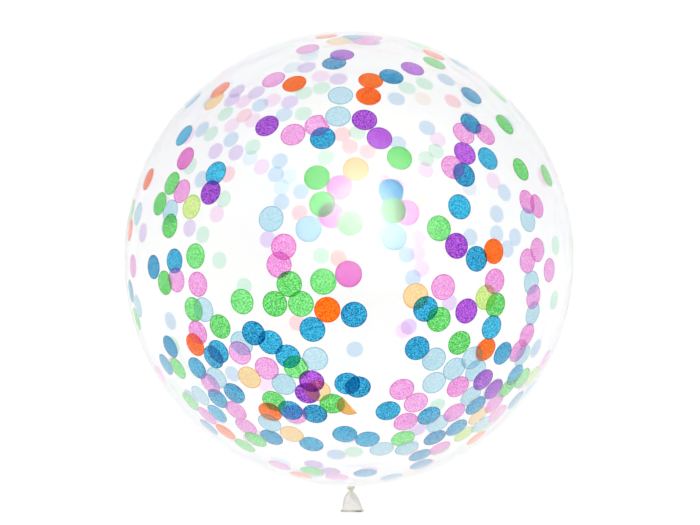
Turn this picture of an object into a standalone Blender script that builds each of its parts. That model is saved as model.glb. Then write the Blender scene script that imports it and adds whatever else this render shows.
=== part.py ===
"""A clear latex balloon, blown up, tied off with a wound knot and lying on its side.

Metres, +Z up. The balloon's axis runs along Y: the crown points to +Y, and the knot and the
open tail below it point to -Y. The origin is the centre of the small flat patch that the
balloon rests on. It is one dipped moulding, blown up and sealed, so the envelope is solid;
only the tail below the knot is open, with a thin wall of its own and a rolled rim.
"""

import math

import bmesh
import bpy
from mathutils import Vector

# Envelope
ENVELOPE_RADIUS = 0.450
ENVELOPE_HALF_LENGTH = 0.456
PATCH_RADIUS = 0.060

# Neck between the envelope and the knot
NECK_RADIUS = 0.0044
NECK_FILLET = 0.0070
NECK_SIDE_SHIFT = 0.0040

# Knot, where the neck is wound round itself
KNOT_LENGTH = 0.0145
KNOT_STRAND_RADIUS = 0.0031
KNOT_TURNS = 1.35

# Tail, the open end below the knot, pressed flat
TAIL_LENGTH = 0.0375
TAIL_TOP_RADIUS = 0.0062
TAIL_WIDTH = 0.0410
TAIL_DEPTH = 0.0115
TAIL_LIP_FLARE = 0.0020
TAIL_LIP_LENGTH = 0.0050
TAIL_SIDE_SHIFT = 0.0025
TAIL_WALL = 0.0009
TAIL_POCKET_DEPTH = 0.0260
TAIL_BEAD_RADIUS = 0.0019
PLEATS = 5
PLEAT_HEIGHT = 0.0010

# Faceting
SEGMENTS = 64
ENVELOPE_RINGS = 33
FILLET_RINGS = 5
TAIL_RINGS = 13
BEAD_RINGS = 8
POCKET_RINGS = 8
STRAND_SIDES = 12
STRAND_STEPS = 44

# Places that follow from the sizes
AXIS_HEIGHT = math.sqrt(ENVELOPE_RADIUS**2 - PATCH_RADIUS**2)
FILLET_RADIUS_OUT = NECK_RADIUS + NECK_FILLET
POLE_ANGLE = math.asin(FILLET_RADIUS_OUT / ENVELOPE_RADIUS)
POLE_Y = -ENVELOPE_HALF_LENGTH * math.cos(POLE_ANGLE)
KNOT_TOP_Y = POLE_Y - NECK_FILLET
KNOT_BOTTOM_Y = KNOT_TOP_Y - KNOT_LENGTH
MOUTH_Y = KNOT_BOTTOM_Y - TAIL_LENGTH
# The angle on the rolled rim where the wall's outer face runs into it.
BEAD_JOIN_ANGLE = math.acos(0.5 * TAIL_WALL / TAIL_BEAD_RADIUS)
WALL_END_Y = MOUTH_Y + TAIL_BEAD_RADIUS * math.sin(BEAD_JOIN_ANGLE)


def smooth_step(share):
    """0 to 1 with flat ends, for blending one shape into the next."""
    share = min(max(share, 0.0), 1.0)
    return share * share * (3.0 - 2.0 * share)


def line_of_centres(y):
    """The middle of the section at y. Neck, knot and tail stand a little off the axis."""
    neck_share = (POLE_Y - y) / NECK_FILLET
    tail_share = (KNOT_BOTTOM_Y - y) / TAIL_LENGTH
    shift = NECK_SIDE_SHIFT * smooth_step(neck_share) + TAIL_SIDE_SHIFT * smooth_step(tail_share)
    return Vector((shift, y, AXIS_HEIGHT))


def round_ring(radius, y):
    """One ring of points round the axis."""
    centre = line_of_centres(y)
    ring = []
    for index in range(SEGMENTS):
        angle = math.tau * index / SEGMENTS
        ring.append(centre + Vector((radius * math.cos(angle), 0.0, radius * math.sin(angle))))
    return ring


def envelope_rings():
    """The blown-up envelope, from the crown to where the neck begins."""
    rings = []
    for index in range(1, ENVELOPE_RINGS + 1):
        angle = (math.pi - POLE_ANGLE) * index / ENVELOPE_RINGS
        radius = ENVELOPE_RADIUS * math.sin(angle)
        rings.append(round_ring(radius, ENVELOPE_HALF_LENGTH * math.cos(angle)))
    return rings


def neck_rings():
    """The hollow fillet below the envelope, and the neck inside the knot."""
    rings = []
    for index in range(1, FILLET_RINGS + 1):
        angle = 0.5 * math.pi * index / FILLET_RINGS
        radius = FILLET_RADIUS_OUT - NECK_FILLET * math.sin(angle)
        rings.append(round_ring(radius, POLE_Y - NECK_FILLET * (1.0 - math.cos(angle))))
    rings.append(round_ring(NECK_RADIUS, 0.5 * (KNOT_TOP_Y + KNOT_BOTTOM_Y)))
    return rings


def tail_section(y):
    """The tail's outer face at y: round at the knot, a flattened tube at the mouth, pleated.

    Gives the ring of points and, for each, the direction that points out of the wall."""
    share = min(max((KNOT_BOTTOM_Y - y) / TAIL_LENGTH, 0.0), 1.0)
    spread = math.sin(0.5 * math.pi * share) ** 0.75
    lip = TAIL_LIP_FLARE * smooth_step((MOUTH_Y + TAIL_LIP_LENGTH - y) / TAIL_LIP_LENGTH)
    half_width = TAIL_TOP_RADIUS + (0.5 * TAIL_WIDTH - TAIL_TOP_RADIUS) * spread + lip
    half_depth = TAIL_TOP_RADIUS + (0.5 * TAIL_DEPTH - TAIL_TOP_RADIUS) * spread
    straight = half_width - half_depth
    pleat = PLEAT_HEIGHT * (1.0 - 0.85 * smooth_step(share))
    centre = line_of_centres(y)
    flat_tube = []
    for index in range(SEGMENTS):
        angle = math.tau * index / SEGMENTS
        side = math.tanh(3.0 * math.cos(angle)) / math.tanh(3.0)
        across = straight * side + half_depth * math.cos(angle)
        flat_tube.append(centre + Vector((across, 0.0, half_depth * math.sin(angle))))
    ring = []
    outward = []
    for index in range(SEGMENTS):
        along = flat_tube[(index + 1) % SEGMENTS] - flat_tube[index - 1]
        normal = Vector((along.z, 0.0, -along.x)).normalized()
        wave = pleat * math.cos(PLEATS * math.tau * index / SEGMENTS + share)
        ring.append(flat_tube[index] + normal * wave)
        outward.append(normal)
    return ring, outward


def tail_ring(inset, y, section_y):
    """A ring of the tail at y: the section at section_y, moved in from its outer face by inset."""
    ring, outward = tail_section(section_y)
    lengthwise = Vector((0.0, y - section_y, 0.0))
    return [point - normal * inset + lengthwise for point, normal in zip(ring, outward)]


def tail_rings():
    """The outer face down to the mouth, round the rolled rim, and up inside to the pocket's end."""
    rings = []
    for index in range(TAIL_RINGS + 1):
        y = KNOT_BOTTOM_Y + (WALL_END_Y - KNOT_BOTTOM_Y) * index / TAIL_RINGS
        rings.append(tail_ring(0.0, y, y))
    roll = math.pi + 2.0 * BEAD_JOIN_ANGLE
    for index in range(1, BEAD_RINGS):
        angle = BEAD_JOIN_ANGLE - roll * index / BEAD_RINGS
        inset = 0.5 * TAIL_WALL - TAIL_BEAD_RADIUS * math.cos(angle)
        rings.append(tail_ring(inset, MOUTH_Y + TAIL_BEAD_RADIUS * math.sin(angle), MOUTH_Y))
    for index in range(POCKET_RINGS + 1):
        y = WALL_END_Y + TAIL_POCKET_DEPTH * index / POCKET_RINGS
        rings.append(tail_ring(TAIL_WALL, y, y))
    return rings


def skin(name, rings, first_point, last_point):
    """A closed mesh: rings of equal length joined in order, with a point at each end."""
    shape = bmesh.new()
    rows = [[shape.verts.new(point) for point in ring] for ring in rings]
    first = shape.verts.new(first_point)
    last = shape.verts.new(last_point)
    count = len(rows[0])
    for index in range(count):
        following = (index + 1) % count
        shape.faces.new((first, rows[0][following], rows[0][index]))
        shape.faces.new((last, rows[-1][index], rows[-1][following]))
        for upper, lower in zip(rows, rows[1:]):
            shape.faces.new((upper[index], upper[following], lower[following], lower[index]))
    bmesh.ops.recalc_face_normals(shape, faces=shape.faces)
    mesh = bpy.data.meshes.new(name)
    shape.to_mesh(mesh)
    shape.free()
    return mesh


def flatten_resting_side(mesh):
    """Cuts the resting side off level with the floor, which leaves the round contact patch."""
    shape = bmesh.new()
    shape.from_mesh(mesh)
    everything = list(shape.verts) + list(shape.edges) + list(shape.faces)
    bmesh.ops.bisect_plane(
        shape,
        geom=everything,
        dist=1e-7,
        plane_co=(0.0, 0.0, 0.0),
        plane_no=(0.0, 0.0, -1.0),
        clear_outer=True,
    )
    rim = [edge for edge in shape.edges if edge.is_boundary]
    bmesh.ops.holes_fill(shape, edges=rim)
    bmesh.ops.recalc_face_normals(shape, faces=shape.faces)
    shape.to_mesh(mesh)
    shape.free()


def knot_strand_mesh():
    """The strand of the knot: a helix round the neck whose ends sink into it."""
    start_y = KNOT_TOP_Y - KNOT_STRAND_RADIUS
    end_y = KNOT_BOTTOM_Y + KNOT_STRAND_RADIUS
    coil_radius = NECK_RADIUS + 0.25 * KNOT_STRAND_RADIUS
    path = []
    radii = []
    for index in range(STRAND_STEPS + 1):
        share = index / STRAND_STEPS
        sink = smooth_step(4.0 * share) * smooth_step(4.0 * (1.0 - share))
        angle = math.tau * KNOT_TURNS * share
        radius = coil_radius * (0.25 + 0.75 * sink)
        centre = line_of_centres(start_y + (end_y - start_y) * share)
        path.append(centre + Vector((radius * math.cos(angle), 0.0, radius * math.sin(angle))))
        radii.append(KNOT_STRAND_RADIUS * (0.6 + 0.4 * sink))
    rings = []
    for index in range(1, STRAND_STEPS):
        forward = (path[index + 1] - path[index - 1]).normalized()
        level = forward.cross(Vector((0.0, 1.0, 0.0))).normalized()
        upright = level.cross(forward)
        ring = []
        for side in range(STRAND_SIDES):
            turn = math.tau * side / STRAND_SIDES
            ring.append(path[index] + radii[index] * (math.cos(turn) * level + math.sin(turn) * upright))
        rings.append(ring)
    return skin("knot_strand", rings, path[0], path[-1])


def latex():
    """Clear latex with a faint warm tone."""
    material = bpy.data.materials.new("clear_latex")
    material.use_nodes = True
    shader = material.node_tree.nodes["Principled BSDF"]
    shader.inputs["Base Color"].default_value = (0.92, 0.91, 0.86, 1.0)
    shader.inputs["Roughness"].default_value = 0.08
    shader.inputs["Metallic"].default_value = 0.0
    shader.inputs["IOR"].default_value = 1.52
    return material


def add_object(name, mesh):
    """Puts a mesh in the scene, shaded smooth except over sharp edges."""
    mesh.shade_smooth()
    mesh.set_sharp_from_angle(angle=math.radians(50.0))
    made = bpy.data.objects.new(name, mesh)
    bpy.context.scene.collection.objects.link(made)
    return made


def knot_cutter():
    """The strand as a helper that is joined to the balloon and isn't rendered by itself."""
    strand = add_object("knot_strand", knot_strand_mesh())
    strand.hide_render = True
    strand.display_type = "WIRE"
    return strand


def balloon():
    """The whole moulding, with the knot's strand joined on."""
    rings = envelope_rings() + neck_rings() + tail_rings()
    pocket_end_y = WALL_END_Y + TAIL_POCKET_DEPTH + TAIL_WALL
    mesh = skin(
        "balloon",
        rings,
        line_of_centres(ENVELOPE_HALF_LENGTH),
        line_of_centres(pocket_end_y),
    )
    flatten_resting_side(mesh)
    made = add_object("balloon", mesh)
    made.data.materials.append(latex())
    join = made.modifiers.new("join_knot", "BOOLEAN")
    join.operation = "UNION"
    join.solver = "EXACT"
    join.object = knot_cutter()
    return made


def clear_scene():
    for existing in list(bpy.data.objects):
        bpy.data.objects.remove(existing, do_unlink=True)


clear_scene()
balloon()
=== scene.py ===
import math
import random

import bpy
from mathutils import Matrix, Vector
from mathutils.kdtree import KDTree


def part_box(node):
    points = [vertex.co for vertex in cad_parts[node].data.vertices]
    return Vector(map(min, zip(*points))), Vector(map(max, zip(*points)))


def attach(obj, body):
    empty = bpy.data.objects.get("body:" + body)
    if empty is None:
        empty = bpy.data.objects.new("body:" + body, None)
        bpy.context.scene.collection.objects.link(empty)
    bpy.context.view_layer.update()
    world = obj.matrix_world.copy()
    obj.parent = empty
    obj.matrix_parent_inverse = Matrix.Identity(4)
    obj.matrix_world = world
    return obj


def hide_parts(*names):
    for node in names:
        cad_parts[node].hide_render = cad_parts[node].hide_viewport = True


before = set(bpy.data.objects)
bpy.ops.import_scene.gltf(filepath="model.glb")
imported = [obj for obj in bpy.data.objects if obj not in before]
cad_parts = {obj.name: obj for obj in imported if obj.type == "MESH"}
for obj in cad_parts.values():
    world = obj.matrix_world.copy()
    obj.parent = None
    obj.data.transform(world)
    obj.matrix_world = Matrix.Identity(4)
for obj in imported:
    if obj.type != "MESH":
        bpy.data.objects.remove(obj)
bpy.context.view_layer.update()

# The balloon as the frame gives it: it lies along Y with its crown at +Y.
LOW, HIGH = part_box("balloon")
ENVELOPE_RADIUS = 0.5 * (HIGH[0] - LOW[0])
ENVELOPE_HALF_LENGTH = HIGH[1]
AXIS_HEIGHT = HIGH[2] - ENVELOPE_RADIUS
CENTRE = Vector((0.0, 0.0, AXIS_HEIGHT))

# Camera
PHOTO_WIDTH_PX = 700.0
PHOTO_HEIGHT_PX = 525.0
CAMERA_DISTANCE = 2.25
CAMERA_NEAREST = 0.01
FOCAL_PX = 1102.0
SENSOR_WIDTH_MM = 36.0
BALLOON_CENTRE_PX = (349.0, 258.6)

# Skin
SKIN_WALL = 0.0004
SKIN_SEGMENTS = 160
SKIN_RINGS = 90
PATCH_SOFTNESS = 0.0015
NECK_RADIUS = 0.0044
NECK_FILLET = 0.0070
NECK_SIDE_SHIFT = 0.0040
NECK_STEPS = 6

# Knot and tail, as the solid has them
KNOT_LENGTH = 0.0145
TAIL_LENGTH = 0.0375
TAIL_TOP_RADIUS = 0.0062
TAIL_WIDTH = 0.0410
TAIL_DEPTH = 0.0115
TAIL_LIP_FLARE = 0.0020
TAIL_LIP_LENGTH = 0.0050
TAIL_SIDE_SHIFT = 0.0025
TAIL_WALL = 0.0006
TAIL_BEAD_RADIUS = 0.0019
TAIL_POCKET_DEPTH = 0.0300
TAIL_SPREAD_POWER = 0.75
TAIL_EDGE_SHARPNESS = 3.0
TAIL_SLOPE_STEP = 0.02
TAIL_SIDES = 120
TAIL_RINGS = 44
BEAD_RINGS = 10
POCKET_RINGS = 24
DRAWN_RING_STEP = 0.001
FILLET_RADIUS = NECK_RADIUS + NECK_FILLET
POLE_Y = -ENVELOPE_HALF_LENGTH * math.cos(math.asin(FILLET_RADIUS / ENVELOPE_RADIUS))
KNOT_TOP_Y = POLE_Y - NECK_FILLET
KNOT_BOTTOM_Y = KNOT_TOP_Y - KNOT_LENGTH
MOUTH_Y = KNOT_BOTTOM_Y - TAIL_LENGTH
KNOT_VOXEL = 0.00035
# How far the painted shade spreads from where the knot's strands meet
KNOT_CREASE_SHADE_WIDTH = 0.0011
MILLIMETRE = 0.001

# The tail's folds: heights in metres, widths as shares of half its width, and turns round it.
# Its length counts from 0 at the knot to 1 at the mouth, its width from -1 at the left to 1.
GATHER_HEIGHT = 0.0007
GATHER_COUNT = 9.0
GATHER_TWIST = 2.0
GATHER_FADE = 2.2
PLEAT_HEIGHT = 0.0006
PLEAT_COUNT = 5.0
PLEAT_LOSS = 0.85
DIAGONAL_HEIGHT = 0.0022
DIAGONAL_START = 0.05
DIAGONAL_SLOPE = 0.85
DIAGONAL_WIDTH = 0.16
HOLLOW_SHARE = 0.9
HOLLOW_OFFSET = 0.26
HOLLOW_WIDTH = 0.12
# Lines beside the diagonal fold, where the tail's finish darkens: partly doubled latex, partly
# painted shade
CREASE_RIGHT = 0.20
CREASE_RIGHT_WIDTH = 0.04
CREASE_LEFT = 0.22
CREASE_LEFT_WIDTH = 0.035
FOLD_RISE = 4.0
FOLD_FALL = 2.2
WRINKLE_HEIGHT = 0.00012
WRINKLE_COUNTS = (41.0, 67.0)
WRINKLE_SLANT = 3.0
WRINKLE_RISE = 5.0
WRINKLE_FALL = 2.5
WRINKLE_SIDE = 0.3
BACK_FOLD_HEIGHT = 0.0008
BACK_FOLD_START = 0.35
BACK_FOLD_SLOPE = 0.3
BACK_FOLD_WIDTH = 0.2

# The knot's strands: points in millimetres to the right, towards the crown and up from the
# knot's middle, each with the strand's radius there
KNOT_STRANDS = (
    # The neck, down through the middle into the tail
    ((0.0, 9.5, 0.0, 4.4), (0.0, 6.0, 0.0, 4.2), (0.0, 0.0, 0.0, 3.6), (0.4, -7.0, 0.0, 5.0)),
    # The turn round the neck, higher on the right, whose end comes back over it
    (
        (3.5, -1.0, -3.0, 2.4), (0.0, -0.5, -5.2, 2.7), (-4.4, 1.0, -3.4, 2.8),
        (-5.4, 2.2, 0.6, 2.9), (-3.2, 3.2, 4.2, 2.8), (1.0, 3.9, 5.2, 2.6), (4.6, 4.4, 3.2, 2.5),
        (5.4, 3.6, -0.4, 2.4), (3.6, 1.4, -3.2, 2.2),
    ),
    # The end that comes out at the right and runs down into the tail
    (
        (4.4, 5.2, -2.4, 1.6), (5.9, 4.6, 0.8, 1.9), (5.4, 1.8, 3.8, 2.1), (3.9, -1.4, 4.9, 2.2),
        (2.6, -4.6, 4.2, 2.3), (2.2, -8.0, 2.2, 2.6),
    ),
    # The strand at the left that curls in and down
    (
        (-5.6, 1.6, 1.6, 1.8), (-4.2, 0.2, 4.6, 2.0), (-1.9, -1.6, 5.4, 2.0),
        (-1.6, -4.4, 4.4, 2.0), (-3.4, -6.8, 2.6, 2.2), (-4.6, -8.4, 0.4, 2.0),
    ),
)

# Confetti
DISC_RADIUS = 0.0220
DISC_THICKNESS = 0.00012
DISC_SIDES = 20
DISC_CLEARANCE = 0.0008
DISC_LAYER = 0.0004
FOLD_RADIUS = 0.0001
FOLD_STEPS = 3
INWARD_NORMAL = -0.5
HIDDEN_DISCS = 130
HIDDEN_BELOW = -0.05
HIDDEN_WITHIN_PX = 4.4
SEED = 7

# Light
PALE_HORIZON = 0.87
DARK_CEILING = 0.10
CEILING_FADE = (math.sin(math.radians(12.0)), math.sin(math.radians(32.0)))
FLOOR_SIZE = 400.0
FLOOR_GREY = 0.9
FILL_SHARE = 0.84
KEY_SHARE = 0.04
KEY_SIZE = 1.6
UNDER_SHARE = 0.42
LAMP_DISTANCE = 4.0
LAMP_ANGLE = math.radians(110.0)
SOFTBOX_CENTRE = (0.36, 1.07, 3.25)
SOFTBOX_RADIUS = 1.05
SOFTBOX_FLAT_SHARE = 0.35
SOFTBOX_RADIANCE = 44.0
SOFTBOX_HALO_RADIUS = 2.6
SOFTBOX_HALO_RADIANCE = 25.0
SOFTBOX_SIDES = 48
SEE_THROUGH_BOUNCES = 48

# Where the discs lie on the camera's side, read off in the photograph's pixels
NEAR_PX = {
    "pink": (
        (307.6, 49), (273.6, 79.7), (292.9, 134.4), (317.2, 125.3), (185.2, 158.3), (181.8, 191.2),
        (339.8, 187.7), (331.7, 215.2), (283.7, 246.8), (278.9, 264.9), (348.5, 273.8),
        (348.8, 274.2), (185.4, 158.6), (133, 266), (176.3, 280), (197.7, 284.3), (197.8, 332.5),
        (239.8, 353), (266.7, 368.4), (210.3, 383.9), (236, 410.4), (207, 415.7), (245.9, 426.5),
        (294.9, 414.6), (279.6, 465.5), (336.7, 476.9), (160.5, 375), (364.9, 41.6), (371.5, 37.4),
        (463.7, 133.3), (485.1, 134.4), (452.6, 167.3), (406.8, 212.5), (527, 201.8), (537, 206),
        (537.3, 250), (527.7, 260.9), (549.3, 270.1), (533.5, 296.9), (443.2, 287.1),
        (494.7, 281.2), (526.8, 335), (518.5, 350.7), (401.9, 389.5), (416, 402.8), (405.7, 421.7),
        (457.9, 386.9), (454.4, 412.6), (494.2, 403.8), (497.5, 413.7), (439.5, 448.1),
        (544.8, 359.9),
    ),
    "sky": (
        (340.5, 95.5), (338, 116.2), (170.1, 211.5), (271.1, 218.8), (308.6, 228.8),
        (203.6, 309.7), (241.5, 343.3), (315.3, 358.8), (138, 306), (216.6, 378.1), (200.3, 395.5),
        (283.7, 384.4), (269.5, 422.9), (379.8, 223.9), (393.9, 237.2), (528.1, 219.8),
        (531.9, 282.8), (532.9, 313.5), (434, 359.2), (472.2, 357.9), (454.4, 369), (475.9, 370.6),
        (522.6, 355.7), (434.2, 382.7), (471, 396.3), (437.8, 423.7), (381.8, 448.9),
        (406.7, 448.4), (481, 424.5), (138, 213.7),
    ),
    "amber": (
        (338.8, 41.1), (214.1, 101.3), (355.8, 169.3), (249.3, 377.6), (318, 390.9),
        (291.7, 434.1), (415.8, 296.1), (478.5, 416.2), (349.8, 405),
    ),
    "purple": (
        (342.1, 55), (267, 125.8), (210.5, 192.5), (311.6, 381.2), (307.3, 393.5), (412.5, 68.6),
        (364.5, 119.8), (379.5, 138.1), (465, 153.2), (456.6, 245.8), (466.4, 311), (483.1, 379.9),
        (493.7, 389.2),
    ),
    "blue": (
        (334, 63), (354, 37), (322.7, 138), (184, 135.6), (215.6, 173), (153.6, 267), (174.3, 261),
        (131, 291), (354, 314.6), (312.4, 329.4), (253.6, 333.2), (270.3, 342.5), (287.9, 356.4),
        (218.3, 351.6), (213.3, 357.2), (170.3, 346.7), (166, 364.4), (197.2, 368.3), (234, 393.5),
        (217.7, 398.5), (217, 413.7), (209, 427), (271.5, 437.5), (311.4, 444.4), (290.4, 410.4),
        (314.8, 414.2), (347.3, 383.6), (358, 387.2), (344.8, 434.1), (367.5, 439.5),
        (391.4, 76.5), (471.5, 95.5), (471, 123.5), (464.4, 174.6), (487.8, 158.5), (390.7, 191.2),
        (459.6, 206.8), (476.5, 258.8), (425.6, 309), (491.6, 327.4), (417.3, 348.3),
        (502.7, 353.5), (515, 374.8), (515.8, 400), (476, 406), (429.1, 416.1), (388.1, 410.9),
        (456.6, 427.8), (434.9, 438.1), (420.1, 455.4), (420.8, 464), (365.2, 473.1),
        (391.4, 476.8), (192.9, 100.4), (459.4, 64), (529, 389.7),
    ),
    "orange": (
        (326.4, 36.3), (294.4, 83.7), (220.1, 89.8), (148.4, 179.2), (130.3, 229.8),
        (327.2, 309.9), (195, 344.8), (270.1, 412.1), (225.5, 431.8), (301, 475.1), (370.7, 80.5),
        (368.5, 96), (433.7, 54.8), (493.9, 251.3), (485.9, 349.7), (476, 437.8),
    ),
    "lime": (
        (191.3, 206.7), (485.9, 297.4), (464.4, 434.5), (532.4, 375.9),
    ),
    "green": (
        (171.8, 183.3), (159.9, 203.7), (169.8, 225.9), (195.4, 256), (164.7, 282.8),
        (193.4, 309.4), (242, 301.6), (219.9, 326.6), (177.9, 368.5), (289.2, 284), (274.8, 303.9),
        (300.8, 303.9), (323.2, 281.7), (295.7, 367.4), (190.4, 401.8), (273.8, 401.3),
        (332.2, 404.1), (255.6, 439.5), (244.6, 445.6), (311.8, 471), (316.9, 177.5),
        (322.2, 204.2), (136.8, 319), (132, 210), (434.2, 62.8), (497.9, 94.1), (504.8, 124.5),
        (399.5, 158), (520.8, 169.3), (546.5, 175.6), (439, 228.3), (495.9, 305.2), (439, 319.5),
        (459.4, 342.9), (522.4, 378.1), (507.5, 388), (403, 438.6), (419.6, 45), (393, 210.3),
        (350.4, 223),
    ),
}

# Where discs overlap, those listed here lie nearest to the skin, then the others as listed above
FIRST_PX = (
    (317.2, 125.3), (322.2, 204.2), (393, 210.3), (311.6, 381.2), (290.4, 410.4), (425.6, 309),
    (253.6, 333.2), (463.7, 133.3), (471, 123.5), (349.8, 405),
)

# The discs that are folded over, each with the ends of its fold; what lies to the fold's left,
# seen from the first end, is turned in under the rest
FOLDED_PX = {
    (317.2, 125.3): ((322.9, 116.4), (328.0, 124.2)),
    (349.8, 405): ((342.5, 397.0), (357.0, 413.0)),
}

# The discs on the far side that show between the near ones
FAR_PX = {
    "pink": (
        (272.5, 100.4), (252.6, 120.3), (231.8, 125.3), (261.7, 166.8), (216.9, 214),
        (320.6, 76.4), (265.8, 384.7), (437.8, 139.4), (425.4, 170.1), (493.4, 180.9),
        (417.9, 238), (417.9, 253), (421.3, 268.7), (403.8, 330.1), (243.8, 101.5),
    ),
    "purple": (
        (338.3, 78.9), (256.4, 92.5), (232.2, 99.6), (289.6, 102.1), (215.6, 151), (236, 152.7),
        (267.5, 239.2), (189.6, 228.1), (313.9, 464.3), (330.5, 471), (398, 185.8), (408.8, 326.8),
        (449.5, 302.7), (417.6, 429.5), (236.8, 91.5), (306.5, 67.5), (143, 232.7),
    ),
    "blue": (
        (260, 105), (202, 129.5), (231, 139.4), (279.9, 161), (275.8, 174.2), (301, 191.6),
        (281.6, 202.2), (170.5, 321), (354.8, 349.3), (336.3, 454.4), (232.7, 373.9),
        (396.4, 98.8), (446, 79.7), (427.1, 127.8), (398, 143.5), (504.4, 192.5), (496.7, 214),
        (496.7, 233.9), (470.2, 237.2), (515, 237.2), (507.5, 248.8), (406.3, 254.6), (413, 277.8),
        (535.7, 348.2), (201.2, 179.2), (284, 114.5),
    ),
    "green": (
        (225.5, 113.7), (303.2, 113.7), (321.4, 88), (211, 133.6), (252.6, 146.9), (325.9, 157.6),
        (223.5, 199), (190.4, 166), (202.8, 234.7), (219.4, 260.4), (321.4, 255.5), (244.3, 286),
        (353.7, 451.9), (424.6, 83.8), (407.2, 88), (436.2, 151), (426.2, 158.5), (357.4, 132.8),
        (437, 405.5), (303.8, 92.5), (555.4, 245.5), (553.9, 300.2),
    ),
    "orange": (
        (244.3, 115.4), (227.7, 174.2), (299.8, 212.8), (342.1, 134.4), (350, 146.5),
        (338.3, 257.9), (297.3, 322.6), (367.4, 151.8), (383.1, 180.9), (452.8, 101.3),
    ),
    "sky": ((250, 157.6), (289, 176.7), (281.6, 187.5), (469.4, 187.5), (292.5, 67.5), (308.8, 57)),
    "lime": (),
    "amber": ((422.9, 98.8), (419.6, 200.8)),
}

WHITE = (1.0, 1.0, 1.0, 1.0)

# What each tissue looks like against white, in linear light
TISSUE_COLOURS = {
    "pink": (0.87, 0.38, 0.75),
    "purple": (0.405, 0.092, 0.645),
    "blue": (0.040, 0.38, 0.63),
    "green": (0.19, 0.725, 0.20),
    "orange": (0.95, 0.155, 0.01),
    "sky": (0.51, 0.74, 0.83),
    "lime": (0.62, 0.82, 0.26),
    "amber": (0.93, 0.69, 0.355),
}

# How much the fibres lighten and darken each tissue, and how much further they darken it
FIBRE_CONTRAST = {
    "pink": 0.55,
    "purple": 0.85,
    "blue": 0.9,
    "green": 0.85,
    "orange": 0.5,
    "sky": 0.35,
    "lime": 0.6,
    "amber": 0.3,
}
THICK_SPOT_PUSH = 1.9

# Tissue: the fibres' fineness and their share in its weight, the darker cut edge, counted from 0
# in a disc's middle to 1 at its edge, and how much of its colour the back keeps under a painted
# veil, which stands in for the haze and reflections of the skin in front of it
FIBRE_SCALE = 520.0
FIBRE_BAND = (0.43, 0.57)
FIBRE_SHARE = 0.75
CUT_EDGE = (0.89, 0.95)
CUT_EDGE_SHARE = 0.7
CUT_EDGE_LAYERS = 3.4
PAPER_SHARE = 0.07
PAPER_ROUGHNESS = 0.8
BACK_KEEPS_UNDER_PAINTED_VEIL = (0.34, 0.33, 0.22)
BACK_THIN = 0.8
BACK_THICK = 1.2
BACK_EDGE = (0.82, 1.0)

# Stretched latex: what its faces let through, where along Y it changes, how slanting the view is
# where it greys and mirrors, and its gloss. The grey where one looks along it is painted shade,
# hardly any towards the neck and more towards the crown
CLEAR_TONE = (0.972, 0.972, 0.967, 1.0)
LOWER_SLANTED_TONE = (0.972, 0.972, 0.972, 1.0)
UPPER_SLANTED_PAINTED_SHADE = (0.91, 0.912, 0.92, 1.0)
NECK_LOOK_Y = (-0.6 * ENVELOPE_HALF_LENGTH, -0.2 * ENVELOPE_HALF_LENGTH)
CROWN_LOOK_Y = (0.5 * ENVELOPE_HALF_LENGTH, 0.75 * ENVELOPE_HALF_LENGTH)
UPPER_SHADE_Y = (-0.2 * ENVELOPE_HALF_LENGTH, 0.6 * ENVELOPE_HALF_LENGTH)
PAINTED_SHADE_SLANT = (0.1, 0.4)
NECK_GLOSS_SLANT = (0.28, 0.42)
CROWN_GLOSS_SLANT = (0.42, 0.5)
CROWN_GLOSS = 0.7
SKIN_ROUGHNESS = 0.03
SKIN_IOR = 1.2
GLOSS_ROUGHNESS = 0.05
GLOSS_IOR = 1.8

# Unstretched latex: its tones, and where along Y, or across the rim, one passes into the next
TAIL_TONES = ((0.675, 0.665, 0.64, 1.0), (0.80, 0.795, 0.775, 1.0))
# Beside the tail's fold: partly the doubled latex, partly painted shade
TAIL_CREASE_LATEX_AND_SHADE = (0.60, 0.585, 0.54, 1.0)
KNOT_TONES = ((0.76, 0.73, 0.61, 1.0), (0.90, 0.87, 0.77, 1.0))
KNOT_LOW_TONE = (0.71, 0.69, 0.59, 1.0)
# Painted shade where the knot's strands meet
KNOT_CREASE_PAINTED_SHADE = (0.16, 0.14, 0.07, 1.0)
RIM_TONES = ((0.62, 0.585, 0.50, 1.0), (0.14, 0.115, 0.07, 1.0))
KNOT_LOW_Y = (KNOT_BOTTOM_Y + 0.004, KNOT_BOTTOM_Y + 0.010)
KNOT_JOIN_Y = (KNOT_BOTTOM_Y - 0.004, KNOT_BOTTOM_Y + 0.001)
RIM_JOIN_Y = (MOUTH_Y + 0.6 * TAIL_BEAD_RADIUS, MOUTH_Y + 1.5 * TAIL_BEAD_RADIUS)
DARK_RIM_START_X = (0.004, 0.018)
DARK_RIM_END_X = (0.024, 0.026)
DARK_RIM_SHARE = 0.7
CLOUD_SCALE = 170.0
TAIL_CLOUD_BAND = (0.3, 0.7)
KNOT_CLOUD_BAND = (0.35, 0.65)
BLOTCH_SCALE = 110.0
BLOTCH_BAND = (0.45, 0.6)
WRINKLE_SCALE = 900.0
WRINKLE_STRENGTH = 0.25
WRINKLE_DEPTH = 0.0002
CREAM_ROUGHNESS = 0.4
CREAM_IOR = 1.35
CREAM_TRANSMISSION = 0.62


def camera_place():
    """Straight above the balloon, moved so that its centre lands where the photograph has it."""
    metres_per_px = CAMERA_DISTANCE / FOCAL_PX
    across = (0.5 * PHOTO_WIDTH_PX - BALLOON_CENTRE_PX[0]) * metres_per_px
    along = (BALLOON_CENTRE_PX[1] - 0.5 * PHOTO_HEIGHT_PX) * metres_per_px
    return CENTRE + Vector((across, along, CAMERA_DISTANCE))


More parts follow.
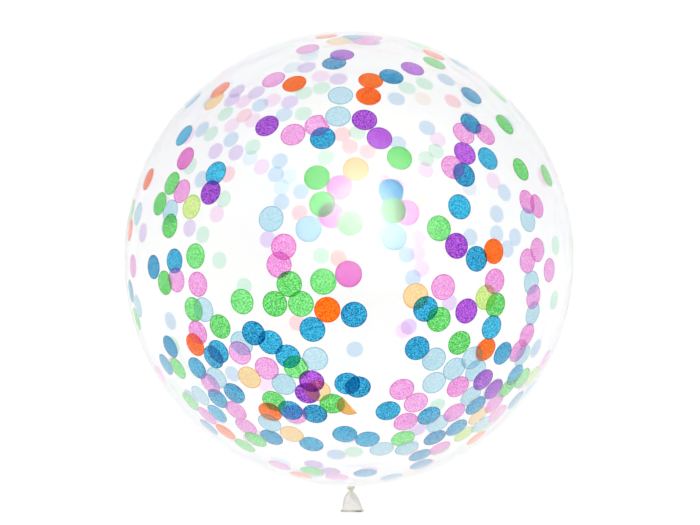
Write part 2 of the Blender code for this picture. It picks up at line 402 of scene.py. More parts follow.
def make_camera():
    data = bpy.data.cameras.new("camera")
    data.sensor_width = SENSOR_WIDTH_MM
    data.lens = FOCAL_PX / PHOTO_WIDTH_PX * SENSOR_WIDTH_MM
    data.clip_start = CAMERA_NEAREST
    data.clip_end = FLOOR_SIZE
    data.dof.use_dof = False
    camera = bpy.data.objects.new("camera", data)
    camera.location = camera_place()
    bpy.context.scene.collection.objects.link(camera)
    bpy.context.scene.camera = camera


make_camera()


# Shader maths


class Value:
    """A shader socket that adds its Math nodes as it is added to or scaled."""

    def __init__(self, tree, socket=None):
        self.tree = tree
        self.socket = socket

    def node(self, kind, settings=None, outlet=0, **inputs):
        """Any node: its settings come first, then its inputs by name or, as i0, by number."""
        made = self.tree.nodes.new(kind)
        for name, setting in (settings or {}).items():
            setattr(made, name, setting)
        for name, value in inputs.items():
            number = name[1:]
            inlet = made.inputs[int(number) if number.isdigit() else name.replace("_", " ")]
            if isinstance(value, Value):
                self.tree.links.new(value.socket, inlet)
            else:
                inlet.default_value = value
        return Value(self.tree, made.outputs[outlet])

    def math(self, operation, *values):
        inputs = {f"i{index}": value for index, value in enumerate(values)}
        return self.node("ShaderNodeMath", {"operation": operation}, **inputs)

    def __add__(self, other):
        return self.math("ADD", self, other)

    __radd__ = __add__

    def __sub__(self, other):
        return self.math("SUBTRACT", self, other)

    def __rsub__(self, other):
        return self.math("SUBTRACT", other, self)

    def __mul__(self, other):
        return self.math("MULTIPLY", self, other)

    __rmul__ = __mul__

    def step(self, low, high):
        """0 below low and 1 above high, smooth between."""
        settings = {"interpolation_type": "SMOOTHSTEP", "clamp": True}
        return self.node(
            "ShaderNodeMapRange",
            settings,
            i0=self,
            From_Min=low,
            From_Max=high,
            To_Min=0.0,
            To_Max=1.0,
        )

    def tint(self, low, high):
        """The colour between low and high at this share."""
        settings = {"data_type": "RGBA"}
        return self.node("ShaderNodeMix", settings, outlet=2, i0=self, i6=low, i7=high)

    def length(self):
        """How long this vector is."""
        settings = {"operation": "LENGTH"}
        return self.node("ShaderNodeVectorMath", settings, outlet="Value", Vector=self)


def new_material(name):
    """A material with an empty tree, a maker of nodes, and its surface socket."""
    material = bpy.data.materials.new(name)
    material.use_nodes = True
    tree = material.node_tree
    tree.nodes.clear()
    output = tree.nodes.new("ShaderNodeOutputMaterial")
    return material, Value(tree), output.inputs["Surface"]


def clear_latex():
    """The stretched skin: see-through and glossy, greyed by painted shade where one looks along it,
    most towards the crown.

    More latex is left in it near the neck, which mirrors more there."""
    material, maker, surface = new_material("clear_latex")
    spot = maker.node("ShaderNodeTexCoord", outlet="Object")
    along = maker.node("ShaderNodeSeparateXYZ", outlet="Y", Vector=spot)
    near_neck = 1.0 - along.step(*NECK_LOOK_Y)
    near_crown = along.step(*CROWN_LOOK_Y)
    # Painted shade: the skin greys where one looks along it, more towards the crown
    slanted_shade = along.step(*UPPER_SHADE_Y).tint(LOWER_SLANTED_TONE, UPPER_SLANTED_PAINTED_SHADE)
    slant = maker.node("ShaderNodeLayerWeight", outlet="Facing", Blend=0.5)
    neck_gloss = near_neck * slant.step(*NECK_GLOSS_SLANT)
    crown_gloss = near_crown * slant.step(*CROWN_GLOSS_SLANT) * CROWN_GLOSS
    shader = maker.node(
        "ShaderNodeBsdfPrincipled",
        Base_Color=slant.step(*PAINTED_SHADE_SLANT).tint(CLEAR_TONE, slanted_shade),
        Roughness=SKIN_ROUGHNESS,
        Transmission_Weight=1.0,
        IOR=SKIN_IOR,
        Coat_Weight=neck_gloss + crown_gloss,
        Coat_Roughness=GLOSS_ROUGHNESS,
        Coat_IOR=GLOSS_IOR,
    )
    maker.tree.links.new(shader.socket, surface)
    return material


def cream_latex():
    """The latex that isn't stretched: milky at the tail, denser at the knot and the rolled rim, the
    rim darker towards the right, with painted shade where the knot's strands meet and beside the
    tail's fold, where the doubled latex darkens it too.
    """
    material, maker, surface = new_material("cream_latex")
    spot = maker.node("ShaderNodeTexCoord", outlet="Object")
    across = maker.node("ShaderNodeSeparateXYZ", outlet="X", Vector=spot)
    along = maker.node("ShaderNodeSeparateXYZ", outlet="Y", Vector=spot)
    cloud = maker.node(
        "ShaderNodeTexNoise", Vector=spot, Scale=CLOUD_SCALE, Detail=3.0, Roughness=0.6
    )
    blotch = maker.node("ShaderNodeTexNoise", Vector=spot, Scale=BLOTCH_SCALE, Detail=1.0)
    wrinkle = maker.node(
        "ShaderNodeTexNoise", Vector=spot, Scale=WRINKLE_SCALE, Detail=3.0, Roughness=0.6
    )
    # Painted shade where the knot's strands meet and beside the tail's fold, there partly the
    # doubled latex
    crease_shade = maker.node("ShaderNodeAttribute", {"attribute_name": "crease_shade"}, outlet="Fac")
    milky = crease_shade.tint(cloud.step(*TAIL_CLOUD_BAND).tint(*TAIL_TONES), TAIL_CREASE_LATEX_AND_SHADE)
    lowest = 1.0 - along.step(*KNOT_LOW_Y)
    strand = lowest.tint(cloud.step(*KNOT_CLOUD_BAND).tint(*KNOT_TONES), KNOT_LOW_TONE)
    knotted = crease_shade.tint(strand, KNOT_CREASE_PAINTED_SHADE)
    to_right = across.step(*DARK_RIM_START_X) - across.step(*DARK_RIM_END_X)
    dark = to_right * DARK_RIM_SHARE + blotch.step(*BLOTCH_BAND) * (1.0 - DARK_RIM_SHARE)
    body = along.step(*KNOT_JOIN_Y).tint(milky, knotted)
    at_rim = 1.0 - along.step(*RIM_JOIN_Y)
    bump = maker.node(
        "ShaderNodeBump", Strength=WRINKLE_STRENGTH, Distance=WRINKLE_DEPTH, Height=wrinkle
    )
    shader = maker.node(
        "ShaderNodeBsdfPrincipled",
        Base_Color=at_rim.tint(body, dark.tint(*RIM_TONES)),
        Roughness=CREAM_ROUGHNESS,
        IOR=CREAM_IOR,
        Transmission_Weight=CREAM_TRANSMISSION,
        Normal=bump,
    )
    maker.tree.links.new(shader.socket, surface)
    return material


def thicker(colour, times):
    """The colour of light that has passed through this many times the paper, with its alpha."""
    return tuple(part**times for part in colour) + (1.0,)


def thin_and_thick(colour, contrast):
    """The paper's colours between and on its fibres, whose mean is its own colour."""
    darker = 1.0 + THICK_SPOT_PUSH * contrast
    pairs = [(part ** (1.0 - contrast), part**darker) for part in colour]
    scales = [2.0 * part / (thin + thick) for part, (thin, thick) in zip(colour, pairs)]
    thin = tuple(min(1.0, scale * pair[0]) for scale, pair in zip(scales, pairs))
    thick = tuple(scale * pair[1] for scale, pair in zip(scales, pairs))
    return thin + (1.0,), thick + (1.0,)


def see_through(maker, colour):
    return maker.node("ShaderNodeBsdfTransparent", Color=colour)


def glowing_through(maker, colour):
    """Paper that scatters the light from behind it."""
    return maker.node("ShaderNodeBsdfTranslucent", Color=colour)


def mix(maker, share, first, second):
    return maker.node("ShaderNodeMixShader", i0=share, i1=first, i2=second)


def show_from_front(maker, look):
    """look on the face's front, and nothing at all on its back."""
    behind = maker.node("ShaderNodeNewGeometry", outlet="Backfacing")
    return mix(maker, behind, look, see_through(maker, WHITE))


def from_middle(maker):
    """0 in the middle of each disc, 1 at its cut edge."""
    across = maker.node("ShaderNodeUVMap", {"uv_map": "disc"})
    return across.length()


def paper_weight(maker):
    """How thick the tissue is from spot to spot and from disc to disc, 0 to 1."""
    spot = maker.node("ShaderNodeTexCoord", outlet="Object")
    fibre = maker.node(
        "ShaderNodeTexNoise",
        Vector=spot,
        Scale=FIBRE_SCALE,
        Detail=1.0,
        Roughness=0.7,
        Distortion=1.0,
    )
    each = maker.node("ShaderNodeNewGeometry", outlet="Random Per Island")
    return fibre.step(*FIBRE_BAND) * FIBRE_SHARE + each * (1.0 - FIBRE_SHARE)


def tissue_outward(name, colour, contrast):
    """The paper's face against the skin: full colour, fibrous, darker along its cut edge."""
    material, maker, surface = new_material(name)
    weight = paper_weight(maker)
    rim = from_middle(maker).step(*CUT_EDGE)
    thin, thick = thin_and_thick(colour, contrast)
    through = mix(maker, weight, glowing_through(maker, thin), glowing_through(maker, thick))
    edge = glowing_through(maker, thicker(colour, CUT_EDGE_LAYERS))
    edged = mix(maker, rim * CUT_EDGE_SHARE, through, edge)
    paper = maker.node(
        "ShaderNodeBsdfPrincipled",
        Base_Color=weight.tint(thin, thick),
        Roughness=PAPER_ROUGHNESS,
        Specular_IOR_Level=0.0,
    )
    look = mix(maker, PAPER_SHARE, edged, paper)
    maker.tree.links.new(show_from_front(maker, look).socket, surface)
    return material


def tissue_inward(name, colour):
    """The face that looks into the balloon: pale with a painted veil, which stands in for the haze
    and reflections of the skin in front of it, and with a soft edge.
    """
    material, maker, surface = new_material(name)
    # Painted veil: the back is paled towards white for the haze and reflections of the skin in
    # front of it
    pale = [1.0 - keep * (1.0 - part) for keep, part in zip(BACK_KEEPS_UNDER_PAINTED_VEIL, colour)]
    through = mix(
        maker,
        paper_weight(maker),
        see_through(maker, thicker(pale, BACK_THIN)),
        see_through(maker, thicker(pale, BACK_THICK)),
    )
    soft_edge = from_middle(maker).step(*BACK_EDGE)
    look = mix(maker, soft_edge, through, see_through(maker, WHITE))
    maker.tree.links.new(show_from_front(maker, look).socket, surface)
    return material


# Modelling helpers


def select_only(made):
    bpy.ops.object.select_all(action="DESELECT")
    made.select_set(True)
    bpy.context.view_layer.objects.active = made


def settle(made):
    """Puts the object's place into its mesh, so that it sits at the origin, unturned."""
    select_only(made)
    bpy.ops.object.transform_apply(location=True, rotation=True, scale=True)


def start_piece(name):
    made = bpy.context.active_object
    made.name = name
    made.data.name = name
    select_only(made)
    return made


def finish_piece(made, slot_name, *materials):
    """Gives the piece its finish, and ties it to the balloon's body."""
    for material in materials:
        made.data.materials.append(material)
    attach(made, "root")
    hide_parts("balloon")


def add_modifier(made, kind, **settings):
    select_only(made)
    modifier = made.modifiers.new(kind.lower(), kind)
    for name, setting in settings.items():
        setattr(modifier, name, setting)
    bpy.ops.object.modifier_apply(modifier=modifier.name)


# Skin


def smooth_step(share):
    """0 to 1 with flat ends."""
    share = min(max(share, 0.0), 1.0)
    return share * share * (3.0 - 2.0 * share)


def pressed_flat(height):
    """The height of a point of the skin once the floor has pressed the underside flat."""
    lift = math.hypot(height, PATCH_SOFTNESS)
    lowest = AXIS_HEIGHT - ENVELOPE_RADIUS
    return 0.5 * (height + lift) - 0.5 * (lowest + math.hypot(lowest, PATCH_SOFTNESS))


def neck_profile():
    """Radius, place along Y and side shift of each ring, from the envelope down into the knot."""
    profile = [(FILLET_RADIUS, POLE_Y, 0.0)]
    for index in range(1, NECK_STEPS + 1):
        angle = 0.5 * math.pi * index / NECK_STEPS
        drop = NECK_FILLET * (1.0 - math.cos(angle))
        shift = NECK_SIDE_SHIFT * smooth_step(drop / NECK_FILLET)
        profile.append((FILLET_RADIUS - NECK_FILLET * math.sin(angle), POLE_Y - drop, shift))
    profile.append((NECK_RADIUS, POLE_Y - 2.0 * NECK_FILLET, NECK_SIDE_SHIFT))
    return profile


def draw_out_neck(skin):
    """Opens the sphere at its -Y pole, and extrudes the ring there along the neck."""
    bpy.ops.object.mode_set(mode="EDIT")
    bpy.ops.mesh.select_mode(type="VERT")
    bpy.ops.mesh.select_all(action="DESELECT")
    bpy.ops.object.mode_set(mode="OBJECT")
    pole = min(skin.data.vertices, key=lambda vertex: vertex.co.y)
    pole.select = True
    bpy.ops.object.mode_set(mode="EDIT")
    bpy.ops.mesh.delete(type="VERT")
    bpy.ops.mesh.select_non_manifold()
    radius = ENVELOPE_RADIUS * math.sin(math.pi / SKIN_RINGS)
    middle = CENTRE + Vector((0.0, -ENVELOPE_HALF_LENGTH * math.cos(math.pi / SKIN_RINGS), 0.0))
    for next_radius, next_y, shift in neck_profile():
        following = Vector((shift, next_y, AXIS_HEIGHT))
        growth = next_radius / radius
        bpy.ops.mesh.extrude_edges_move()
        bpy.ops.transform.resize(value=(growth, 1.0, growth), center_override=middle)
        bpy.ops.transform.translate(value=following - middle)
        radius = next_radius
        middle = following
    bpy.ops.object.mode_set(mode="OBJECT")


def make_skin():
    """The blown-up envelope: a sphere drawn out along Y, flat where it rests, with a thin wall."""
    bpy.ops.object.select_all(action="DESELECT")
    bpy.ops.mesh.primitive_uv_sphere_add(
        segments=SKIN_SEGMENTS,
        ring_count=SKIN_RINGS,
        radius=ENVELOPE_RADIUS,
        location=CENTRE,
        rotation=(0.5 * math.pi, 0.0, 0.0),
    )
    skin = start_piece("envelope")
    settle(skin)
    bpy.ops.object.mode_set(mode="EDIT")
    bpy.ops.mesh.select_all(action="SELECT")
    bpy.ops.transform.resize(
        value=(1.0, ENVELOPE_HALF_LENGTH / ENVELOPE_RADIUS, 1.0), center_override=CENTRE
    )
    bpy.ops.object.mode_set(mode="OBJECT")
    draw_out_neck(skin)
    for vertex in skin.data.vertices:
        vertex.co.z = pressed_flat(vertex.co.z)
    add_modifier(skin, "SOLIDIFY", thickness=SKIN_WALL, offset=-1.0)
    skin.data.shade_smooth()
    skin.visible_shadow = False
    finish_piece(skin, "clear_latex", clear_latex())


# Knot and tail


def tail_middle(y):
    """The middle of the tail's section at y, a little off the balloon's axis."""
    shift = NECK_SIDE_SHIFT + TAIL_SIDE_SHIFT * smooth_step((KNOT_BOTTOM_Y - y) / TAIL_LENGTH)
    return Vector((shift, y, AXIS_HEIGHT))


def ridge(value, centre, width):
    """1 on a line and 0 away from it."""
    return math.exp(-(((value - centre) / width) ** 2))


def folds(angle, share):
    """How far the wall stands out of its plain section, with gathers, a diagonal fold and
    wrinkles, and how deep it lies in the lines beside the fold, 0 to 1, where the finish darkens
    the tail: partly the doubled latex, partly painted shade."""
    place = math.cos(angle)
    upper = math.sin(angle) > 0.0
    gathers = GATHER_HEIGHT * math.cos(GATHER_COUNT * angle + GATHER_TWIST * share)
    gathers *= 1.0 - smooth_step(GATHER_FADE * share)
    pleats = PLEAT_HEIGHT * math.cos(PLEAT_COUNT * angle + share)
    pleats *= 1.0 - PLEAT_LOSS * smooth_step(share)
    fade = smooth_step(FOLD_RISE * share) * smooth_step(FOLD_FALL * (1.0 - share))
    run = DIAGONAL_START + DIAGONAL_SLOPE * share
    diagonal = ridge(place, run, DIAGONAL_WIDTH)
    diagonal -= HOLLOW_SHARE * ridge(place, run + HOLLOW_OFFSET, HOLLOW_WIDTH)
    crease_shade = ridge(place, run + CREASE_RIGHT, CREASE_RIGHT_WIDTH)
    crease_shade += ridge(place, run - CREASE_LEFT, CREASE_LEFT_WIDTH)
    coarse, fine = WRINKLE_COUNTS
    waves = math.sin(coarse * share + WRINKLE_SLANT * place) + math.sin(fine * share)
    left = smooth_step(WRINKLE_SIDE - place) * smooth_step(WRINKLE_RISE * share)
    left *= smooth_step(WRINKLE_FALL * (1.0 - share))
    back_fold = ridge(place, -BACK_FOLD_START - BACK_FOLD_SLOPE * share, BACK_FOLD_WIDTH)
    fold = DIAGONAL_HEIGHT * diagonal if upper else -BACK_FOLD_HEIGHT * back_fold
    height = gathers + pleats + WRINKLE_HEIGHT * waves * left + fold * fade
    return height, min(crease_shade, 1.0) * fade if upper else 0.0


def tail_section(angle, section_y):
    """A point of the tail's outer face, the direction that points out of the wall there, and how
    deep it lies in the lines beside the fold, which darken with painted shade and doubled latex."""
    share = min(max((KNOT_BOTTOM_Y - section_y) / TAIL_LENGTH, 0.0), 1.0)
    spread = math.sin(0.5 * math.pi * share) ** TAIL_SPREAD_POWER
    lip = TAIL_LIP_FLARE * smooth_step((MOUTH_Y + TAIL_LIP_LENGTH - section_y) / TAIL_LIP_LENGTH)
    half_width = TAIL_TOP_RADIUS + (0.5 * TAIL_WIDTH - TAIL_TOP_RADIUS) * spread + lip
    half_depth = TAIL_TOP_RADIUS + (0.5 * TAIL_DEPTH - TAIL_TOP_RADIUS) * spread
    straight = half_width - half_depth

    def flat_tube(turn):
        across = straight * math.tanh(TAIL_EDGE_SHARPNESS * math.cos(turn))
        across /= math.tanh(TAIL_EDGE_SHARPNESS)
        return Vector((across + half_depth * math.cos(turn), 0.0, half_depth * math.sin(turn)))

    along = flat_tube(angle + TAIL_SLOPE_STEP) - flat_tube(angle - TAIL_SLOPE_STEP)
    outward = Vector((along.z, 0.0, -along.x)).normalized()
    height, crease_shade = folds(angle, share)
    return tail_middle(section_y) + flat_tube(angle) + outward * height, outward, crease_shade


def tail_rows():
    """For each ring of the tail: its inset from the outer face, its y, and its section's y."""
    join_angle = math.acos(0.5 * TAIL_WALL / TAIL_BEAD_RADIUS)
    wall_end_y = MOUTH_Y + TAIL_BEAD_RADIUS * math.sin(join_angle)
    rows = []
    for index in range(TAIL_RINGS + 1):
        y = KNOT_BOTTOM_Y + (wall_end_y - KNOT_BOTTOM_Y) * index / TAIL_RINGS
        rows.append((0.0, y, y))
    for index in range(1, BEAD_RINGS):
        angle = join_angle - (math.pi + 2.0 * join_angle) * index / BEAD_RINGS
        inset = 0.5 * TAIL_WALL - TAIL_BEAD_RADIUS * math.cos(angle)
        rows.append((inset, MOUTH_Y + TAIL_BEAD_RADIUS * math.sin(angle), MOUTH_Y))
    for index in range(POCKET_RINGS + 1):
        y = wall_end_y + TAIL_POCKET_DEPTH * index / POCKET_RINGS
        rows.append((TAIL_WALL, y, y))
    return rows


def make_tail():
    """The open end below the knot: a ring drawn out, rolled round at the mouth and up inside."""
    bpy.ops.object.select_all(action="DESELECT")
    bpy.ops.mesh.primitive_circle_add(
        vertices=TAIL_SIDES,
        radius=TAIL_TOP_RADIUS,
        location=tail_middle(KNOT_BOTTOM_Y),
        rotation=(0.5 * math.pi, 0.0, 0.0),
    )
    tail = start_piece("tail")
    settle(tail)
    rows = tail_rows()
    start = tail_middle(KNOT_BOTTOM_Y)
    bpy.ops.object.mode_set(mode="EDIT")
    bpy.ops.mesh.select_mode(type="VERT")
    bpy.ops.mesh.select_all(action="SELECT")
    bpy.ops.mesh.edge_face_add()
    for _ in rows[1:]:
        bpy.ops.mesh.extrude_edges_move()
        bpy.ops.transform.translate(value=(0.0, -DRAWN_RING_STEP, 0.0))
    bpy.ops.mesh.edge_face_add()
    bpy.ops.object.mode_set(mode="OBJECT")
    crease_shades = tail.data.attributes.new("crease_shade", "FLOAT", "POINT")
    for vertex in tail.data.vertices:
        row = round((start.y - vertex.co.y) / DRAWN_RING_STEP)
        angle = math.atan2(vertex.co.z - start.z, vertex.co.x - start.x)
        inset, y, section_y = rows[row]
        point, outward, crease_shades.data[vertex.index].value = tail_section(angle, section_y)
        vertex.co = point - outward * inset + Vector((0.0, y - section_y, 0.0))
    bpy.ops.object.mode_set(mode="EDIT")
    bpy.ops.mesh.select_all(action="SELECT")
    bpy.ops.mesh.normals_make_consistent(inside=False)
    bpy.ops.object.mode_set(mode="OBJECT")
    tail.data.shade_smooth()
    tail.visible_glossy = False
    finish_piece(tail, "clear_latex", cream_latex())


def make_strand(points):
    """One strand of the knot: a smooth curve through its points, as thick as they say."""
    middle = Vector((NECK_SIDE_SHIFT, 0.5 * (KNOT_TOP_Y + KNOT_BOTTOM_Y), AXIS_HEIGHT))
    bpy.ops.object.select_all(action="DESELECT")
    bpy.ops.curve.primitive_nurbs_path_add(location=(0.0, 0.0, 0.0))
    strand = bpy.context.active_object
    curve = strand.data
    curve.splines.clear()
    spline = curve.splines.new("NURBS")
    spline.points.add(len(points) - 1)
    for place, (right, crown, up, radius) in zip(spline.points, points):
        place.co = (*(middle + MILLIMETRE * Vector((right, crown, up))), 1.0)
        place.radius = radius
    spline.order_u = 3
    spline.use_endpoint_u = True
    spline.resolution_u = 10
    curve.bevel_depth = MILLIMETRE
    curve.bevel_resolution = 5
    curve.use_fill_caps = True
    select_only(strand)
    bpy.ops.object.convert(target="MESH")
    return bpy.context.active_object


def vertex_tree(made):
    tree = KDTree(len(made.data.vertices))
    for vertex in made.data.vertices:
        tree.insert(vertex.co, vertex.index)
    tree.balance()
    return tree


def mark_crease_shade(knot, trees):
    """Notes on each vertex how near it lies to where two strands meet, from 0 to 1 there, which the
    knot's finish darkens as painted shade.
    """
    crease_shades = knot.data.attributes.new("crease_shade", "FLOAT", "POINT")
    for vertex in knot.data.vertices:
        second = sorted(tree.find(vertex.co)[2] for tree in trees)[1]
        crease_shades.data[vertex.index].value = 1.0 - smooth_step(second / KNOT_CREASE_SHADE_WIDTH)


def make_knot():
    """The knot: its strands melted into one closed body."""
    strands = [make_strand(points) for points in KNOT_STRANDS]
    trees = [vertex_tree(strand) for strand in strands]
    bpy.ops.object.select_all(action="DESELECT")
    for strand in strands:
        strand.select_set(True)
    bpy.context.view_layer.objects.active = strands[0]
    bpy.ops.object.join()
    knot = start_piece("knot")
    add_modifier(knot, "REMESH", mode="VOXEL", voxel_size=KNOT_VOXEL)
    add_modifier(knot, "SMOOTH", factor=0.5, iterations=3)
    mark_crease_shade(knot, trees)
    knot.data.shade_smooth()
    knot.visible_glossy = False
    finish_piece(knot, "clear_latex", cream_latex())


# Confetti


def ray_through(pixel):
    """The camera's ray through a pixel of the photograph: its start and its direction."""
    start = camera_place()
    across = (pixel[0] - 0.5 * PHOTO_WIDTH_PX) / FOCAL_PX
    along = (0.5 * PHOTO_HEIGHT_PX - pixel[1]) / FOCAL_PX
    return start, Vector((across, along, -1.0))


def in_radii(away):
    """A vector with each part divided by how far the envelope reaches that way."""
    return Vector(
        (away.x / ENVELOPE_RADIUS, away.y / ENVELOPE_HALF_LENGTH, away.z / ENVELOPE_RADIUS)
    )


def unit_space(point):
    """A point in the space where the envelope is a ball of radius 1."""
    return in_radii(point - CENTRE)


def from_unit_space(away):
    stretched = Vector(
        (away.x * ENVELOPE_RADIUS, away.y * ENVELOPE_HALF_LENGTH, away.z * ENVELOPE_RADIUS)
    )
    return CENTRE + stretched


def on_envelope(pixel, far_side):
    """Where the ray through a pixel meets the layer of discs under the skin, on its near or its
    far side, as a direction in unit space. A ray that just misses is brought in to the outline."""
    inner = 1.0 - (DISC_CLEARANCE + DISC_LAYER) / ENVELOPE_RADIUS
    start, direction = ray_through(pixel)
    start = unit_space(start)
    direction = unit_space(CENTRE + direction)
    squared = direction.length_squared
    middle = -start.dot(direction) / squared
    nearest = start + middle * direction
    if nearest.length >= inner:
        return nearest.normalized()
    reach = math.sqrt((inner**2 - nearest.length_squared) / squared)
    return (start + (middle + (reach if far_side else -reach)) * direction).normalized()


def pixel_of(point):
    """The pixel of the photograph in which a point of the scene shows."""
    away = point - camera_place()
    return (
        0.5 * PHOTO_WIDTH_PX - FOCAL_PX * away.x / away.z,
        0.5 * PHOTO_HEIGHT_PX + FOCAL_PX * away.y / away.z,
    )


def disc_template():
    """One flat disc of paper, with a map that runs from 0 at its middle to 1 at its edge."""
    bpy.ops.object.select_all(action="DESELECT")
    bpy.ops.mesh.primitive_cylinder_add(
        vertices=DISC_SIDES,
        radius=DISC_RADIUS,
        depth=DISC_THICKNESS,
        end_fill_type="TRIFAN",
        location=(0.0, 0.0, 0.0),
    )
    template = start_piece("disc")
    mesh = template.data
    layer = mesh.uv_layers.new(name="disc")
    for loop in mesh.loops:
        corner = mesh.vertices[loop.vertex_index].co
        layer.data[loop.index].uv = (corner.x / DISC_RADIUS, corner.y / DISC_RADIUS)
    for other in [other for other in mesh.uv_layers if other.name != "disc"]:
        mesh.uv_layers.remove(other)
    face_materials(mesh)
    return template


def face_materials(mesh):
    """The inward look for the faces that look down into the balloon, else the outward one."""
    for face in mesh.polygons:
        face.material_index = 1 if face.normal.z < INWARD_NORMAL else 0


def fold_over(mesh, start, end):
    """Folds a flat disc along the line from start to end: what lies left of it goes under."""
    made = bpy.data.objects.new("disc", mesh)
    bpy.context.scene.collection.objects.link(made)
    select_only(made)
    along = (end - start).normalized()
    left = Vector((-along.y, along.x, 0.0))
    bend = math.pi * FOLD_RADIUS
    bpy.ops.object.mode_set(mode="EDIT")
    for index in range(FOLD_STEPS + 1):
        bpy.ops.mesh.select_all(action="SELECT")
        bpy.ops.mesh.bisect(plane_co=start + left * (bend * index / FOLD_STEPS), plane_no=left)
    bpy.ops.object.mode_set(mode="OBJECT")
    for vertex in mesh.vertices:
        beyond = (vertex.co - start).dot(left)
        if beyond <= 0.0:
            continue
        turn = min(beyond, bend) / FOLD_RADIUS
        reach = FOLD_RADIUS + vertex.co.z
        new_beyond = reach * math.sin(turn) - max(beyond - bend, 0.0)
        vertex.co += left * (new_beyond - beyond)
        vertex.co.z = reach * math.cos(turn) - FOLD_RADIUS
    mesh.update()
    face_materials(mesh)
    bpy.data.objects.remove(made, do_unlink=True)


def cling(mesh, place, layer):
    """Moves a flat disc to its place and curves it to the skin, on its layer of the stack there."""
    inset = DISC_CLEARANCE + layer * DISC_LAYER
    for vertex in mesh.vertices:
        depth = inset + 0.5 * DISC_THICKNESS - vertex.co.z
        away = unit_space(place @ Vector((vertex.co.x, vertex.co.y, 0.0))).normalized()
        vertex.co = from_unit_space(away * (1.0 - depth / ENVELOPE_RADIUS))
        vertex.co.z = pressed_flat(vertex.co.z - inset) + inset


class Scatter:
    """Lays discs against the skin, each under those that it overlaps."""

    def __init__(self, template):
        self.template = template
        self.chance = random.Random(SEED)
        self.laid = []
        self.copies = {}

    def layer_at(self, middle):
        """The first layer that no overlapping disc has taken."""
        reach = 2.0 * DISC_RADIUS
        taken = {layer for other, layer in self.laid if (other - middle).length < reach}
        layer = 0
        while layer in taken:
            layer += 1
        return layer

    def lay(self, colour, away, fold=()):
        """Lays a disc with its middle at away; fold holds the ends of its fold in the scene."""
        middle = from_unit_space(away)
        layer = self.layer_at(middle)
        self.laid.append((middle, layer))
        outward = in_radii(away).normalized()
        upright = outward.to_track_quat("Z", "Y").to_matrix().to_4x4()
        turn = Matrix.Rotation(self.chance.uniform(0.0, math.tau), 4, "Z")
        place = Matrix.Translation(middle) @ upright @ turn
        mesh = self.template.data.copy()
        if fold:
            start, end = [place.inverted() @ from_unit_space(corner) for corner in fold]
            fold_over(mesh, Vector((start.x, start.y, 0.0)), Vector((end.x, end.y, 0.0)))
        cling(mesh, place, layer)
        self.copies.setdefault(colour, []).append(mesh)


def scatter_confetti():
    template = disc_template()
    scatter = Scatter(template)
    near = [(colour, pixel) for colour, pixels in NEAR_PX.items() for pixel in pixels]
    near.sort(key=lambda disc: FIRST_PX.index(disc[1]) if disc[1] in FIRST_PX else len(FIRST_PX))
    for colour, pixel in near:
        fold = [on_envelope(corner, far_side=False) for corner in FOLDED_PX.get(pixel, ())]
        scatter.lay(colour, on_envelope(pixel, far_side=False), fold)
    for colour, pixels in FAR_PX.items():
        for pixel in pixels:
            scatter.lay(colour, on_envelope(pixel, far_side=True))
    covering = [pixel for _, pixel in near if pixel not in FOLDED_PX]
    colours = list(NEAR_PX)
    weights = [len(pixels) for pixels in NEAR_PX.values()]
    hidden = 0
    while hidden < HIDDEN_DISCS:
        away = Vector([scatter.chance.gauss(0.0, 1.0) for _ in range(3)]).normalized()
        colour = scatter.chance.choices(colours, weights)[0]
        if away.z > HIDDEN_BELOW:
            continue
        across, along = pixel_of(from_unit_space(away))
        if min(math.hypot(across - x, along - y) for x, y in covering) > HIDDEN_WITHIN_PX:
            continue
        scatter.lay(colour, away)
        hidden += 1
    for colour, meshes in scatter.copies.items():
        join_discs(colour, meshes)
    bpy.data.objects.remove(template, do_unlink=True)


def join_discs(colour, meshes):
    """All the discs of one colour, as one piece."""
    look = TISSUE_COLOURS[colour]
    outward = tissue_outward(f"tissue_{colour}", look, FIBRE_CONTRAST[colour])
    inward = tissue_inward(f"tissue_{colour}_inward", look)
    bpy.ops.object.select_all(action="DESELECT")
    for mesh in meshes:
        mesh.materials.append(outward)
        mesh.materials.append(inward)
        made = bpy.data.objects.new("disc", mesh)
        bpy.context.scene.collection.objects.link(made)
        made.select_set(True)
        bpy.context.view_layer.objects.active = made
    bpy.ops.object.join()
    finish_piece(start_piece(f"confetti_{colour}"), f"tissue_{colour}")


# Surroundings


def make_floor():
    bpy.ops.object.select_all(action="DESELECT")
    bpy.ops.mesh.primitive_plane_add(size=FLOOR_SIZE, location=(0.0, 0.0, 0.0))
    floor = start_piece("floor")
    material, maker, surface = new_material("pale_floor")
    shader = maker.node(
        "ShaderNodeBsdfPrincipled",
        Base_Color=(FLOOR_GREY, FLOOR_GREY, FLOOR_GREY, 1.0),
        Roughness=0.9,
        Specular_IOR_Level=0.0,
    )
    maker.tree.links.new(shader.socket, surface)
    floor.data.materials.append(material)
    floor.visible_shadow = False


def add_lamp(name, kind, place, **settings):
    """A lamp that lights matt surfaces and doesn't show in the skin."""
    data = bpy.data.lights.new(name, kind)
    data.cycles.use_multiple_importance_sampling = False
    for setting, value in settings.items():
        setattr(data, setting, value)
    lamp = bpy.data.objects.new(name, data)
    lamp.location = place
    lamp.rotation_euler = (CENTRE - lamp.location).to_track_quat("-Z", "Y").to_euler()
    lamp.visible_glossy = False
    lamp.visible_transmission = False
    lamp.visible_camera = False
    bpy.context.scene.collection.objects.link(lamp)


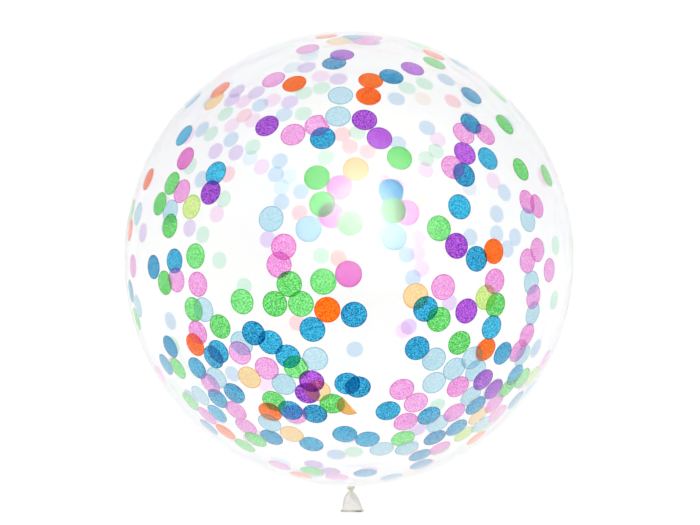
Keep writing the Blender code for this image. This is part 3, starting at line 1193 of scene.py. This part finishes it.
def make_lamps():
    """A wide soft fill from above, one from below for the paper, and a key from the softbox."""
    irradiance = math.pi / FLOOR_GREY
    above = CENTRE + Vector((0.0, 0.0, LAMP_DISTANCE))
    below = CENTRE - Vector((0.0, 0.0, LAMP_DISTANCE))
    fill_energy = FILL_SHARE * irradiance
    add_lamp("fill", "SUN", above, energy=fill_energy, angle=LAMP_ANGLE, use_shadow=False)
    add_lamp("under", "SUN", below, energy=UNDER_SHARE * math.pi, angle=LAMP_ANGLE)
    place = Vector(SOFTBOX_CENTRE)
    reach = place.length
    tilt = place.z / reach
    add_lamp(
        "key",
        "AREA",
        place,
        shape="DISK",
        size=KEY_SIZE,
        energy=KEY_SHARE * irradiance * math.pi * reach**2 / tilt,
    )


def make_softbox():
    """The round softbox that the skin mirrors: a bright middle in a wide faint halo."""
    bpy.ops.object.select_all(action="DESELECT")
    bpy.ops.mesh.primitive_circle_add(
        vertices=SOFTBOX_SIDES,
        radius=SOFTBOX_HALO_RADIUS,
        fill_type="TRIFAN",
        location=(0.0, 0.0, 0.0),
    )
    softbox = start_piece("softbox")
    place = Vector(SOFTBOX_CENTRE)
    softbox.location = place
    softbox.rotation_euler = (CENTRE - place).to_track_quat("Z", "Y").to_euler()
    material, maker, surface = new_material("softbox")
    spot = maker.node("ShaderNodeTexCoord", outlet="Object")
    out = spot.length()
    glow = 1.0 - out.step(SOFTBOX_FLAT_SHARE * SOFTBOX_RADIUS, SOFTBOX_RADIUS)
    halo = 1.0 - out.step(SOFTBOX_FLAT_SHARE * SOFTBOX_RADIUS, SOFTBOX_HALO_RADIUS)
    strength = glow * SOFTBOX_RADIANCE + halo * SOFTBOX_HALO_RADIANCE
    light = maker.node("ShaderNodeEmission", Color=WHITE, Strength=strength)
    maker.tree.links.new(light.socket, surface)
    material.cycles.emission_sampling = "NONE"
    softbox.data.materials.append(material)
    softbox.visible_camera = False
    softbox.visible_diffuse = False
    softbox.visible_transmission = False
    softbox.visible_shadow = False


def make_world():
    """White round the horizon and a dark ceiling, so that the skin mirrors little from above."""
    world = bpy.data.worlds.new("studio")
    world.use_nodes = True
    maker = Value(world.node_tree)
    direction = maker.node("ShaderNodeTexCoord", outlet="Generated")
    up = maker.node("ShaderNodeSeparateXYZ", outlet="Z", Vector=direction)
    pale = (PALE_HORIZON, PALE_HORIZON, PALE_HORIZON, 1.0)
    dark = (DARK_CEILING, DARK_CEILING, DARK_CEILING, 1.0)
    sky = up.step(*CEILING_FADE).tint(pale, dark)
    backdrop = world.node_tree.nodes["Background"]
    world.node_tree.links.new(sky.socket, backdrop.inputs["Color"])
    scene = bpy.context.scene
    scene.world = world
    scene.view_settings.view_transform = "Standard"
    scene.cycles.use_denoising = True
    scene.cycles.transparent_max_bounces = SEE_THROUGH_BOUNCES


make_skin()
make_knot()
make_tail()
scatter_confetti()
make_floor()
make_lamps()
make_softbox()
make_world()
